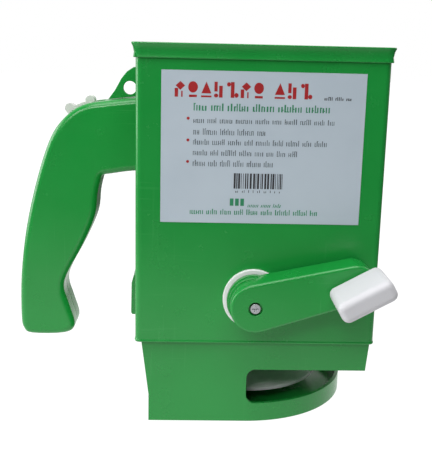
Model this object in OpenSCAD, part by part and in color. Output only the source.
// Hand-held rotary spreader: an open hopper over a spinning disc, turned by a side crank.
// +X is the discharge side, -X the handle side, -Y the crank side, +Z up.
// The origin is where the upright impeller axis meets the underside of the base.

/* [Hopper] */
// Outside length of the hopper, along X
hopper_l = 142; // [134:1:160]
// Outside width of the hopper, along Y
hopper_w = 142; // [136:1:160]
// How far the hopper's middle lies in front of the impeller axis
hopper_shift = 2; // [2:0.5:2]
// Height of the hopper's underside
hopper_z = 51.5; // [51.5:0.5:54]
// Height of the rim's top
rim_top = 224.6; // [216:1:240]
// Height of the rim band
rim_h = 8.4; // [6:0.2:12]
// How far the rim stands out past the walls
rim_out = 2.8; // [1:0.2:4]
// Wall thickness of the hopper
hopper_wall = 2.4; // [2:0.1:3]
// Radius of the upright corners
corner_r = 3.5; // [2:0.5:6]

/* [Base] */
// Height of the tray's low front wall
low_wall = 11.5; // [10:0.5:14]
// Height of the skirt's lower edge, which is the top of the discharge slot
skirt_z = 33.5; // [32:0.5:36]
// How far the base sits inside the hopper's outline
base_inset = 3.5; // [3:0.5:5]
// Wall thickness of the base
base_wall = 2.2; // [1.8:0.1:2.6]
// Rounding at the ends of the discharge slot
slot_r = 5.5; // [3:0.5:7]

/* [Crank] */
// Height of the crank axis
crank_z = 79.6; // [79.6:0.1:81]
// Distance between the crank axis and the knob axis
crank_l = 58; // [54:0.2:62]
// Angle of the arm above horizontal
crank_angle = 14.8; // [0:0.1:45]
// Depth of the arm
arm_depth = 17.8; // [14:0.2:18]
// Radius of the arm at its hub
arm_hub_r = 14.2; // [12:0.1:15]
// Radius of the arm at the knob
arm_end_r = 11.2; // [10:0.1:12.4]
// Radius of the bush's flange
flange_r = 17.8; // [16:0.1:20]
// Width of the knob
knob_w = 32; // [26:0.5:34]
// Thickness of the knob
knob_t = 12; // [10:0.1:13]
// Radius of the knob's corners
knob_round = 4; // [2:0.1:4.8]
// Length of the knob
knob_l = 32.5; // [28:0.5:36]
// Tilt of the knob above horizontal
knob_tilt = 29; // [0:1:90]

/* [Drive] */
// Radius of the crank shaft
crank_shaft_r = 4; // [3.5:0.1:4.5]
// Radius of the impeller shaft
impeller_shaft_r = 3; // [2.8:0.1:3.2]
// Radial clearance of every running fit
running_gap = 0.05; // [0.02:0.01:0.08]
// Teeth on the pinion; the crown gear has three times as many
pinion_teeth = 12; // [12:12:12]
// Pitch radius of the pinion
pinion_r = 7.5; // [7.5:0.1:7.5]
// Thickness of a gear tooth
tooth_t = 1.1; // [1:0.05:1.2]
// Radius of the impeller disc
impeller_r = 49; // [46:0.5:52]
// Height of the impeller disc's top
disc_top = 13.6; // [11.2:0.1:14]
// Vanes on the impeller
vanes = 4; // [3:1:6]

/* [Handle] */
// Width of the handle across both shells
handle_w = 30; // [28:1:34]
// Wall thickness of the shells
shell_t = 2.4; // [2:0.1:2.6]

/* [Flow control] */
// Distance from the flow lever's pivot to the control rod
lever_arm = 30; // [30:0.5:30]
// Arm length of the gate lever
gate_arm = 12; // [12:0.5:12]
// Width of the feed port along X
port_l = 28; // [20:1:28]
// Width of the feed port along Y
port_w = 9; // [7:0.5:9]

/* [Hidden] */
$fn = 48;

green = [0.15, 0.52, 0.22];
dark_green = [0.08, 0.36, 0.15];
white = [0.9, 0.9, 0.88];
pale_blue = [0.7, 0.76, 0.8];
steel = [0.7, 0.71, 0.73];
eps = 0.05;

// Hopper
back_x = hopper_shift - hopper_l / 2;
front_x = hopper_shift + hopper_l / 2;
side_y = hopper_w / 2;
floor_t = 3;
floor_top = hopper_z + floor_t;
label_x = [-54.6, 59.3];
label_z = [124.5, 210];
label_t = 0.25;

// Base
tray_r = side_y - base_inset;
tray_x = -2;
base_back_top = back_x + base_inset;
base_back_low = back_x + 8;
base_back_knee_z = 17;
base_front_top = front_x - 1.6;
base_front_low = front_x - 3.2;
tray_floor = 2.4;
front_screw = [front_x - 11, side_y - 13];
back_screw = [back_x + 14, side_y - 13];
screw_boss_r = 4;
screw_r = 1.5;
screw_head_r = 2.9;

// Crank, from the hopper's side outwards
face_y = -side_y;
flange_t = 2.5;
washer_t = 0.6;
arm_back_y = face_y - flange_t - washer_t;
arm_front_y = arm_back_y - arm_depth;
knob_back_y = arm_front_y - 0.5;
knob_x = crank_l * cos(crank_angle);
knob_z = crank_z + crank_l * sin(crank_angle);
drive_side = 6.4;
drive_depth = 12;
bush_r = 8;
small_bush_r = 6;
small_flange_r = 7.4;
pin_r = 2.5;
arm_wall = 2.2;
step_r = 0.7;
step_l = 4;

// Gears
crown_teeth = 3 * pinion_teeth;
crown_r = 3 * pinion_r;
tooth_reach = 1.1;
root_gap = 0.5;
crown_face_y = -(pinion_r + tooth_reach + root_gap);
crown_tip_y = -(pinion_r - tooth_reach + 0.2);
crown_half = 2.4;
crown_t = 3;
pinion_z = [55.8, 61.6];
housing_r = 30;
housing_t = 2;
housing_end_y = 11.4;
agitator_y = [14, 30];
finger_r = 1.8;
finger_l = 24;

// Impeller
disc_t = 2;
hub_r = 8;
hub_z = [8.3, 22.3];
vane_t = 1.8;
vane_h = 8.5;
shaft_foot = 3.6;

// Flow control
pivot = [-100.6, 165];
rod_x = pivot[0] + lever_arm;
rod_y = 3.5;
rod_r = 1;
rod_top = pivot[1];
shutter_z = [49.6, 51.2];
shutter_mid = (shutter_z[0] + shutter_z[1]) / 2;
gate_y = 15.5;
gate_z = shutter_mid + gate_arm;
gate_x = [-73.8, -72.2];
gate_pin_r = 1.5;
play = 0.3;
stroke = 5.3;
port_y = 15;
thumb_r = 22.6;
thumb_w = 9;
thumb_from = 86;
thumb_to = 137;
nub_angles = [94, 129];
lever_swing = 10;

// Handle: control points of the outline, run through by a smooth closed curve
handle_outline = [
    [-69, 191], [-89, 188.8], [-106, 185.6], [-118, 177], [-127, 163.5], [-135.6, 138],
    [-143, 106.6], [-147.2, 75], [-148, 48], [-146.6, 38.6], [-141, 34.8], [-119.6, 35.4],
    [-113, 41], [-116.2, 54], [-119.6, 66], [-117.4, 76], [-107, 95.6], [-99, 114.6], [-97.2, 129],
    [-95.3, 137.4], [-93.7, 141.4], [-88, 142.6], [-78, 144.2], [-69, 145]
];
curve_steps = 4;

function spline(a, b, c, d, t) =
    0.5 * ((2 * b) + (c - a) * t + (2 * a - 5 * b + 4 * c - d) * t * t
           + (3 * b - a - 3 * c + d) * t * t * t);
function smooth_outline(p) =
    let (n = len(p) - 1)
    concat(
        [for (i = [0:n - 1], s = [0:curve_steps - 1])
            spline(p[max(i - 1, 0)], p[i], p[i + 1], p[min(i + 2, n)], s / curve_steps)],
        [p[n]]);
function unit(v) = v / norm(v);
// The outline moved inwards by d, along the normal at each point; its two ends stay on the wall
function inset_outline(p, d) =
    let (n = len(p) - 1)
    [for (i = [0:n])
        let (t = unit(p[min(i + 1, n)] - p[max(i - 1, 0)]))
        [i == 0 || i == n ? p[i][0] : p[i][0] - d * t[1],
         i == 0 ? p[i][1] - d : i == n ? p[i][1] + d : p[i][1] + d * t[0]]];

// Places an XZ outline so that it is extruded from y0 to y1
module along_y(y0, y1) {
    translate([0, y1, 0]) rotate([90, 0, 0]) linear_extrude(y1 - y0) children();
}
module rounded_rect(x0, x1, y0, y1, r) {
    translate([x0 + r, y0]) square([x1 - x0 - 2 * r, y1 - y0]);
    translate([x0, y0 + r]) square([x1 - x0, y1 - y0 - 2 * r]);
    for (x = [x0 + r, x1 - r], y = [y0 + r, y1 - r]) translate([x, y]) circle(r);
}
module block(x, y, z) {
    translate([x[0], y[0], z[0]]) cube([x[1] - x[0], y[1] - y[0], z[1] - z[0]]);
}
// Round bars along Y and X
module bar_y(x, z, r, y0, y1) { translate([x, y1, z]) rotate([90, 0, 0]) cylinder(r = r, h = y1 - y0); }
module bar_x(y, z, r, x0, x1) { translate([x0, y, z]) rotate([0, 90, 0]) cylinder(r = r, h = x1 - x0); }
// A straight slot or link in the XY plane, with round ends
module slot_2d(a, b, r) {
    u = unit(b - a);
    side = [-u[1], u[0]] * r;
    polygon([a - side, b - side, b + side, a + side]);
    translate(a) circle(r);
    translate(b) circle(r);
}
// A pan-head screw with a cross recess: head up along +Z, its underside at z = 0
module screw(length, head_r = screw_head_r, head_h = 2) {
    difference() {
        union() {
            translate([0, 0, -length]) cylinder(r = screw_r, h = length);
            cylinder(r = head_r, h = head_h);
        }
        for (a = [0, 90]) rotate(a)
            translate([-head_r * 0.6, -0.35, head_h - 1.2]) cube([head_r * 1.2, 0.7, 1.3]);
    }
}

module hopper_screw_places() {
    for (s = [-1, 1]) {
        translate([front_screw[0], s * front_screw[1], 0]) children();
        translate([back_screw[0], s * back_screw[1], 0]) children();
    }
}
housing_screws = [[-35.5, -50], [35.5, -50], [-35.5, 4], [35.5, 4]];
rail_screw_places = [[22.4, 8], [22.4, 43], [-22.4, 29], [-22.4, 43]];
rail_foot = 47.6;
handle_screw_places = [[-76, 152.6], [-76, 179], [-124, 152], [-135, 60]];

module hopper() {
    color(green) difference() {
        union() {
            difference() {
                union() {
                    translate([0, 0, hopper_z]) linear_extrude(rim_top - hopper_z)
                        rounded_rect(back_x, front_x, -side_y, side_y, corner_r);
                    translate([0, 0, rim_top - rim_h]) linear_extrude(rim_h)
                        rounded_rect(back_x - rim_out, front_x + rim_out, -side_y - rim_out,
                                     side_y + rim_out, corner_r + rim_out);
                }
                translate([0, 0, floor_top]) linear_extrude(rim_top)
                    rounded_rect(back_x + hopper_wall, front_x - hopper_wall, hopper_wall - side_y,
                                 side_y - hopper_wall, corner_r - hopper_wall);
            }
            hopper_screw_places() translate([0, 0, hopper_z]) cylinder(r = screw_boss_r, h = 9);
            // Two lugs that the handle's shells close over
            for (s = [-1, 1]) translate([0, s * (handle_w / 2 - shell_t - 2.4), 0])
                block([-82, back_x + 0.5], [-2, 2], [149, 185]);
        }
        // Feed port, upper bush, crank bush and screw holes
        block([-port_l / 2, port_l / 2], [port_y, port_y + port_w], [hopper_z - 1, floor_top + 1]);
        translate([0, 0, hopper_z - 1]) cylinder(r = small_bush_r, h = 10);
        bar_y(0, crank_z, bush_r, -side_y - 1, hopper_wall - side_y + 1);
        hopper_screw_places() translate([0, 0, hopper_z - 1]) cylinder(r = screw_r, h = 8);
        for (p = concat(housing_screws, rail_screw_places))
            translate([p[0], p[1], hopper_z - 1]) cylinder(r = screw_r, h = 5);
        for (i = [0, 1]) bar_y(handle_screw_places[i][0], handle_screw_places[i][1], screw_r,
                               -handle_w / 2, handle_w / 2);
        bar_x(gate_y, gate_z, gate_pin_r, back_x - 1, back_x + hopper_wall + 1);
    }
}

// A triangular rib on the back wall, above the handle, with the hole that the spreader hangs from.
// It is moulded with the hopper, and has a node of its own.
ear_hole = [-77.2, 196.4];
ear_hole_r = 4.2;
module hanging_rib() {
    color(green) difference() {
        along_y(-2.2, 2.2) polygon([
            [back_x, 209.6], [-74.8, 209.4], [-79, 206.6], [-82.6, 202.2], [-86.8, 194.6],
            [-91, 188.9], [back_x, 191.5]]);
        bar_y(ear_hole[0], ear_hole[1], ear_hole_r, -5, 5);
    }
}

// Side profile of the base, with the wall's thickness taken off when inset is above 0
module base_profile(inset) {
    polygon([
        [base_back_top + inset, hopper_z], [base_front_top - inset, hopper_z],
        [base_front_low - inset, skirt_z], [base_front_low - inset, -1],
        [base_back_low + inset, -1], [base_back_low + inset, base_back_knee_z]]);
}
module tray_plan(inset) {
    translate([tray_x, 0]) circle(tray_r - inset, $fn = 96);
    translate([back_x, inset - tray_r]) square([tray_x - back_x, 2 * (tray_r - inset)]);
}
module base_body(inset, z0, ledge) {
    intersection() {
        along_y(-side_y, side_y) base_profile(inset);
        union() {
            translate([0, 0, z0]) linear_extrude(ledge - z0 + eps) tray_plan(inset);
            translate([0, 0, ledge]) linear_extrude(hopper_z - ledge)
                rounded_rect(back_x, front_x, inset - tray_r, tray_r - inset, 2);
        }
    }
}
module base() {
    color(green) difference() {
        union() {
            difference() {
                base_body(0, 0, skirt_z);
                base_body(base_wall, tray_floor, skirt_z + base_wall);
                // Discharge slot round the front half
                along_y(-side_y - 1, side_y + 1)
                    rounded_rect(tray_x, front_x + 20, low_wall, skirt_z, slot_r);
            }
            translate([0, 0, 1]) cylinder(r = 8, h = 6);
            for (s = [-1, 1]) {
                translate([front_screw[0], s * front_screw[1], skirt_z + 1])
                    cylinder(r = screw_boss_r, h = hopper_z - skirt_z - 1);
                translate([back_screw[0], s * back_screw[1], 1])
                    cylinder(r = screw_boss_r, h = hopper_z - 1);
            }
        }
        translate([0, 0, tray_floor]) cylinder(r = 5, h = 10);
        hopper_screw_places() {
            translate([0, 0, -1]) cylinder(r = screw_r, h = hopper_z + 2);
            translate([0, 0, -1]) cylinder(r = screw_head_r + 0.1, h = hopper_z - 7);
        }
        // Way out for the shutter's tongue
        block([back_x - 5, -40], [gate_y - 3.5 - stroke - 0.6, gate_y + 3.5 + stroke + 0.6],
              [shutter_z[0] - 0.8, hopper_z + 1]);
    }
}

module label() {
    color(pale_blue) translate([0, face_y, 0]) block(label_x, [-label_t, 0], label_z);
}

// One half of the handle; side is -1 for the left shell and 1 for the right
module handle_shell(side) {
    outline = smooth_outline(handle_outline);
    cavity = inset_outline(outline, shell_t);
    half = handle_w / 2;
    inner = half - shell_t;
    post_y = thumb_w / 2 + 0.6;
    slot_from = thumb_from - lever_swing - 4;
    slot_to = thumb_to + lever_swing + 4;
    color(green) difference() {
        union() {
            difference() {
                along_y(min(0, side * half), max(0, side * half)) polygon(outline);
                along_y(min(-1 * side, side * inner), max(-1 * side, side * inner)) polygon(cavity);
            }
            // Screw posts in the grip and posts for the flow lever's pin
            for (i = [2, 3]) bar_y(handle_screw_places[i][0], handle_screw_places[i][1], 4,
                                   min(0, side * (inner + 1)), max(0, side * (inner + 1)));
            bar_y(pivot[0], pivot[1], 5.5, min(side * post_y, side * (inner + 1)),
                  max(side * post_y, side * (inner + 1)));
        }
        bar_y(pivot[0], pivot[1], pin_r, -inner, inner);
        for (p = handle_screw_places) {
            bar_y(p[0], p[1], screw_r, -inner - 0.5, inner + 5);
            bar_y(p[0], p[1], screw_head_r + 0.1, inner - 0.4, half + 1);
        }
        // Slot that the thumb piece swings in, and the rod's way out
        along_y(-post_y, post_y) translate(pivot) polygon(concat(
            [[0, 0]], [for (i = [0 : 8]) let (a = slot_from + i * (slot_to - slot_from) / 8)
                32 * [cos(a), sin(a)]]));
        block([rod_x - 2.4, back_x + 1], [rod_y - 2, rod_y + 2], [140, 150]);
    }
}
module handle_left_shell() { handle_shell(-1); }
module handle_right_shell() { handle_shell(1); }

module handle_screws() {
    seat_y = handle_w / 2 - shell_t - 0.4;
    color(steel) for (p = handle_screw_places)
        translate([p[0], seat_y, p[1]]) rotate([-90, 0, 0]) screw(2 * seat_y);
}

// Thumb piece, pivot hub and rod arm in one moulding
module flow_lever() {
    color(white) difference() {
        union() {
            bar_y(pivot[0], pivot[1], 5, -thumb_w / 2, thumb_w / 2);
            along_y(-2.2, 2.2) translate(pivot) {
                slot_2d([0, 0], [lever_arm - 2.2, 0], 3.2);
                polygon(concat([[0, 0]], [for (a = [thumb_from : 3 : thumb_to])
                    (thumb_r - 2) * [cos(a), sin(a)]]));
            }
            along_y(-thumb_w / 2, thumb_w / 2) translate(pivot) {
                polygon(concat(
                    [for (a = [thumb_from : 3 : thumb_to]) thumb_r * [cos(a), sin(a)]],
                    [for (a = [thumb_to : -3 : thumb_from]) (thumb_r - 3) * [cos(a), sin(a)]]));
                for (a = nub_angles) rotate(a) translate([thumb_r + 0.6, 0]) circle(3);
            }
        }
        bar_y(pivot[0], pivot[1], pin_r + running_gap, -thumb_w, thumb_w);
        along_y(-4, 4) translate(pivot)
            slot_2d([lever_arm - 0.5, 0], [lever_arm + 5, 0], rod_r + play);
    }
}
module flow_lever_pin() {
    half = handle_w / 2 - shell_t - 0.1;
    color(steel) bar_y(pivot[0], pivot[1], pin_r, -half, half);
}

// Bent wire: a hook along Y at the top, a straight run, and a hook along X at the bottom
module control_rod() {
    color(steel) {
        translate([rod_x, rod_y, gate_z]) cylinder(r = rod_r, h = rod_top - gate_z);
        translate([rod_x, rod_y, gate_z]) sphere(rod_r);
        translate([rod_x, rod_y, rod_top]) sphere(rod_r);
        bar_y(rod_x, rod_top, rod_r, -3.4, rod_y);
        bar_x(rod_y, gate_z, rod_r, gate_x[0] - 0.3, rod_x);
    }
}
module rod_guide() {
    color(green) difference() {
        block([rod_x - 2.6, back_x], [rod_y - 3.5, rod_y + 3.5], [104, 112]);
        translate([rod_x, rod_y, 100]) cylinder(r = rod_r + running_gap, h = 20);
    }
}

// Flat bell crank on the back wall: one arm to the rod, one down to the shutter
module gate_lever() {
    pin_y = rod_y - gate_y;
    color(white) difference() {
        union() {
            translate([gate_x[0], 0, 0]) rotate([90, 0, 90]) linear_extrude(gate_x[1] - gate_x[0])
                translate([gate_y, gate_z]) difference() {
                    union() {
                        slot_2d([0, 0], [pin_y, 0], 2.6);
                        slot_2d([0, 0], [0, 2 - gate_arm], 3.2);
                        circle(4);
                    }
                    slot_2d([pin_y - 1.2, 0], [pin_y + 0.1, 0], rod_r + play);
                    slot_2d([0, -gate_arm - 6], [0, 0.3 - gate_arm], gate_pin_r + play);
                }
            bar_x(gate_y, gate_z, 3, gate_x[1] - 0.1, -70);
        }
        bar_x(gate_y, gate_z, gate_pin_r + running_gap, -82, -62);
    }
}
module gate_lever_pin() {
    color(steel) {
        bar_x(gate_y, gate_z, gate_pin_r, gate_x[0] - 0.3, back_x + hopper_wall);
        bar_x(gate_y, gate_z, 2.6, gate_x[0] - 1.1, gate_x[0] - 0.3);
    }
}
module linkage_guard() {
    color(green) difference() {
        along_y(-3, 27) polygon([
            [back_x, 73.6], [-74.6, 73], [-76.1, 67.6], [-76.4, 47], [-75.8, 45.6], [back_x, 45.6]]);
        along_y(-1.6, 25.6) polygon([
            [back_x + 1, 72], [-73.7, 71.7], [-75.1, 66.6], [-75.3, 47.2], [back_x + 1, 47.2]]);
        block([rod_x - 1.6, back_x + 1], [rod_y - 1.6, rod_y + 1.6], [60, 80]);
    }
}

// Sliding plate with a window; its tongue reaches out to the gate lever
module shutter() {
    window_y = port_y + port_w / 2;
    color(white) {
        difference() {
            union() {
                block([-20, 20], [12, 40], shutter_z);
                block([-69.6, -19], [gate_y - 3.5, gate_y + 3.5], shutter_z);
            }
            block([-port_l / 2 + 0.5, port_l / 2 - 0.5], [window_y, window_y + port_w + 1],
                  [shutter_z[0] - 1, shutter_z[1] + 1]);
        }
        block([-71.6, back_x - 0.5], [gate_y - 3, gate_y + 3], [shutter_z[0] - 1, shutter_z[1] + 1]);
        bar_x(gate_y, shutter_mid, gate_pin_r, gate_x[0] - 0.7, -71.5);
    }
}
module shutter_rails() {
    color(green) difference() {
        union() {
            block([20.3, 24.6], [3, 48], [rail_foot, hopper_z]);
            block([17, 20.4], [3, 48], [rail_foot, shutter_z[0] - play]);
            block([-24.6, -20.3], [25, 48], [rail_foot, hopper_z]);
            block([-20.4, -17], [25, 48], [rail_foot, shutter_z[0] - play]);
        }
        for (p = rail_screw_places) translate([p[0], p[1], 40]) cylinder(r = screw_r, h = 15);
    }
}
module rail_screws() {
    color(steel) for (p = rail_screw_places)
        translate([p[0], p[1], rail_foot]) rotate([180, 0, 0]) screw(6, 2);
}

// White flanged bush in the hopper's side
module crank_bush() {
    color(white) difference() {
        union() {
            bar_y(0, crank_z, flange_r, face_y - flange_t, face_y);
            bar_y(0, crank_z, bush_r, face_y - 1, -58);
        }
        bar_y(0, crank_z, crank_shaft_r + running_gap, -80, -50);
    }
}
// Round shaft with a square outer end that drives from the arm
module crank_shaft() {
    color(steel) difference() {
        union() {
            bar_y(0, crank_z, crank_shaft_r, arm_back_y, agitator_y[1]);
            block([-drive_side / 2, drive_side / 2], [arm_back_y - drive_depth, arm_back_y + 0.3],
                  [crank_z - drive_side / 2, crank_z + drive_side / 2]);
        }
        bar_y(0, crank_z, screw_r, arm_back_y - 20, arm_back_y);
    }
}
// Points of an arc round centre c, from angle a0 to a1
function arc(c, r, a0, a1, steps = 24) =
    [for (i = [0 : steps]) let (a = a0 + (a1 - a0) * i / steps) c + r * [cos(a), sin(a)]];
// Outline of the arm: two round ends and the tangents between them, less d all round
module arm_outline(d) {
    r1 = arm_hub_r - d;
    r2 = arm_end_r - d;
    a = acos((r1 - r2) / crank_l);
    polygon(concat(arc([crank_l, 0], r2, -a, a), arc([0, 0], r1, a, 360 - a)));
}
module crank_arm() {
    web = arm_depth - drive_depth;
    color(green) difference() {
        translate([0, 0, crank_z]) rotate([0, -crank_angle, 0]) difference() {
            union() {
                along_y(arm_front_y, arm_back_y) arm_outline(0);
                // Two steps round the back of the hub
                for (i = [1, 2]) along_y(arm_back_y - step_l * (3 - i), arm_back_y)
                    circle(arm_hub_r + i * step_r);
            }
            // Hollow back, with a boss left round the drive and one round the knob's pin
            along_y(arm_front_y + 3, arm_back_y + 1) difference() {
                arm_outline(arm_wall);
                circle(7.5);
                translate([crank_l, 0]) circle(6);
            }
            bar_y(crank_l, 0, pin_r, arm_front_y - 1, arm_back_y + 1);
        }
        block([-drive_side / 2, drive_side / 2], [arm_front_y + web, arm_back_y + 1],
              [crank_z - drive_side / 2, crank_z + drive_side / 2]);
        bar_y(0, crank_z, screw_r, arm_front_y - 1, arm_back_y);
        bar_y(0, crank_z, 4, arm_front_y - 1, arm_front_y + 2.6);
    }
}
module crank_screw() {
    color(steel) translate([0, arm_front_y + 2.6, crank_z]) rotate([90, 0, 0]) screw(11);
}
module crank_washer() {
    color(steel) difference() {
        bar_y(0, crank_z, 8, arm_back_y, face_y - flange_t);
        bar_y(0, crank_z, crank_shaft_r + 0.6, arm_back_y - 1, face_y);
    }
}
// Section of the knob: a flat bar with rounded corners
module knob_section() {
    x = knob_w / 2 - knob_round;
    z = knob_t / 2 - knob_round;
    polygon(concat(arc([x, z], knob_round, 0, 90, 6), arc([-x, z], knob_round, 90, 180, 6),
                   arc([-x, -z], knob_round, 180, 270, 6), arc([x, -z], knob_round, 270, 360, 6)));
}
// Flat paddle grip that spins on its pin
module crank_knob() {
    color(white) difference() {
        translate([knob_x, 0, knob_z]) rotate([0, -knob_tilt, 0])
            along_y(knob_back_y - knob_l, knob_back_y) knob_section();
        bar_y(knob_x, knob_z, pin_r + running_gap, knob_back_y - knob_l + 5, knob_back_y + 1);
    }
}
module knob_pin() {
    color(steel) bar_y(knob_x, knob_z, pin_r, knob_back_y - knob_l + 6, arm_back_y - 0.5);
}

// Vertical disc with teeth on its inner face
module crown_gear() {
    color(white) difference() {
        union() {
            bar_y(0, crank_z, crown_r + crown_half, crown_face_y - crown_t, crown_face_y);
            bar_y(0, crank_z, 8, crown_face_y - 12, crown_face_y);
            for (i = [0 : crown_teeth - 1])
                translate([0, 0, crank_z]) rotate([0, i * 360 / crown_teeth, 0])
                    block([-tooth_t / 2, tooth_t / 2], [crown_face_y - 1, crown_tip_y],
                          [-crown_r - crown_half + 0.4, crown_half - crown_r]);
        }
        bar_y(0, crank_z, crank_shaft_r, -60, 60);
    }
}
module pinion() {
    half_step = 180 / pinion_teeth;
    color(white) difference() {
        translate([0, 0, pinion_z[0]]) linear_extrude(pinion_z[1] - pinion_z[0]) {
            circle(pinion_r - tooth_reach - 0.4);
            for (i = [0 : pinion_teeth - 1]) rotate(half_step + i * 2 * half_step)
                translate([0, -tooth_t / 2]) square([pinion_r + tooth_reach, tooth_t]);
        }
        cylinder(r = impeller_shaft_r, h = 100);
    }
}
// Arched cover over the gears, screwed to the hopper's floor
module gear_housing() {
    color(dark_green) difference() {
        union() {
            arch(housing_r, hopper_wall - side_y, housing_end_y);
            for (p = housing_screws) block(
                p[0] > 0 ? [housing_r - 1, p[0] + 5] : [p[0] - 5, 1 - housing_r],
                [p[1] - 5, p[1] + 5], [floor_top, floor_top + 2.5]);
        }
        arch(housing_r - housing_t, -side_y, housing_end_y - housing_t);
        bar_y(0, crank_z, small_bush_r, 0, 20);
        for (p = housing_screws) translate([p[0], p[1], 50]) cylinder(r = screw_r, h = 10);
    }
}
module arch(r, y0, y1) {
    intersection() {
        union() {
            bar_y(0, crank_z, r, y0, y1);
            block([-r, r], [y0, y1], [floor_top, crank_z]);
        }
        block([-r - 1, r + 1], [y0 - 1, y1 + 1], [floor_top, crank_z + r + 1]);
    }
}
module gear_housing_screws() {
    color(steel) for (p = housing_screws) translate([p[0], p[1], floor_top + 2.5]) screw(5.4);
}
module inner_bush() {
    color(white) difference() {
        union() {
            bar_y(0, crank_z, small_bush_r, housing_end_y - housing_t - 1, housing_end_y);
            bar_y(0, crank_z, 9, housing_end_y, housing_end_y + 1.6);
        }
        bar_y(0, crank_z, crank_shaft_r + running_gap, 0, 20);
    }
}
// Hub with fingers that keep the feed port clear
module agitator() {
    color(white) difference() {
        union() {
            bar_y(0, crank_z, 7, agitator_y[0], agitator_y[1]);
            for (i = [0 : 2]) translate([0, agitator_y[0] + 3 + 4.5 * i, crank_z])
                rotate([0, 60 + 120 * i, 0]) cylinder(r = finger_r, h = finger_l);
        }
        bar_y(0, crank_z, crank_shaft_r, 0, 50);
    }
}

module impeller_shaft() {
    color(steel) translate([0, 0, shaft_foot])
        cylinder(r = impeller_shaft_r, h = pinion_z[1] + 1 - shaft_foot);
}
module upper_bush() {
    color(white) difference() {
        union() {
            translate([0, 0, hopper_z]) cylinder(r = small_bush_r, h = floor_t);
            translate([0, 0, floor_top]) cylinder(r = small_flange_r, h = 0.4);
        }
        cylinder(r = impeller_shaft_r + running_gap, h = 100);
    }
}
module lower_bush() {
    color(white) difference() {
        union() {
            translate([0, 0, tray_floor]) cylinder(r = 5, h = 4.6);
            translate([0, 0, 7]) cylinder(r = small_flange_r, h = 0.9);
        }
        translate([0, 0, 3.4]) cylinder(r = impeller_shaft_r + running_gap, h = 10);
    }
}
// Spinning disc that throws what falls on it
module impeller() {
    color(white) difference() {
        union() {
            translate([0, 0, disc_top - disc_t]) cylinder(r = impeller_r, h = disc_t, $fn = 96);
            translate([0, 0, hub_z[0]]) cylinder(r = hub_r, h = hub_z[1] - hub_z[0]);
            for (i = [0 : vanes - 1]) rotate(i * 360 / vanes - 10)
                block([4, impeller_r - 1.5], [-vane_t / 2, vane_t / 2],
                      [disc_top - 1, disc_top + vane_h]);
        }
        cylinder(r = impeller_shaft_r, h = 100);
    }
}
module impeller_clip() {
    color(steel) difference() {
        translate([0, 0, 48]) cylinder(r = 5.4, h = 1);
        cylinder(r = impeller_shaft_r, h = 100);
    }
}
module base_screws() {
    color(steel) hopper_screw_places() translate([0, 0, hopper_z - 8]) rotate([180, 0, 0]) screw(14.5);
}

hopper();
hanging_rib();
base();
label();
handle_left_shell();
handle_right_shell();
handle_screws();
flow_lever();
flow_lever_pin();
control_rod();
rod_guide();
gate_lever();
gate_lever_pin();
linkage_guard();
shutter();
shutter_rails();
rail_screws();
crank_bush();
crank_shaft();
crank_arm();
crank_screw();
crank_washer();
crank_knob();
knob_pin();
crown_gear();
gear_housing();
gear_housing_screws();
inner_bush();
agitator();
impeller_shaft();
pinion();
upper_bush();
lower_bush();
impeller();
impeller_clip();
base_screws();
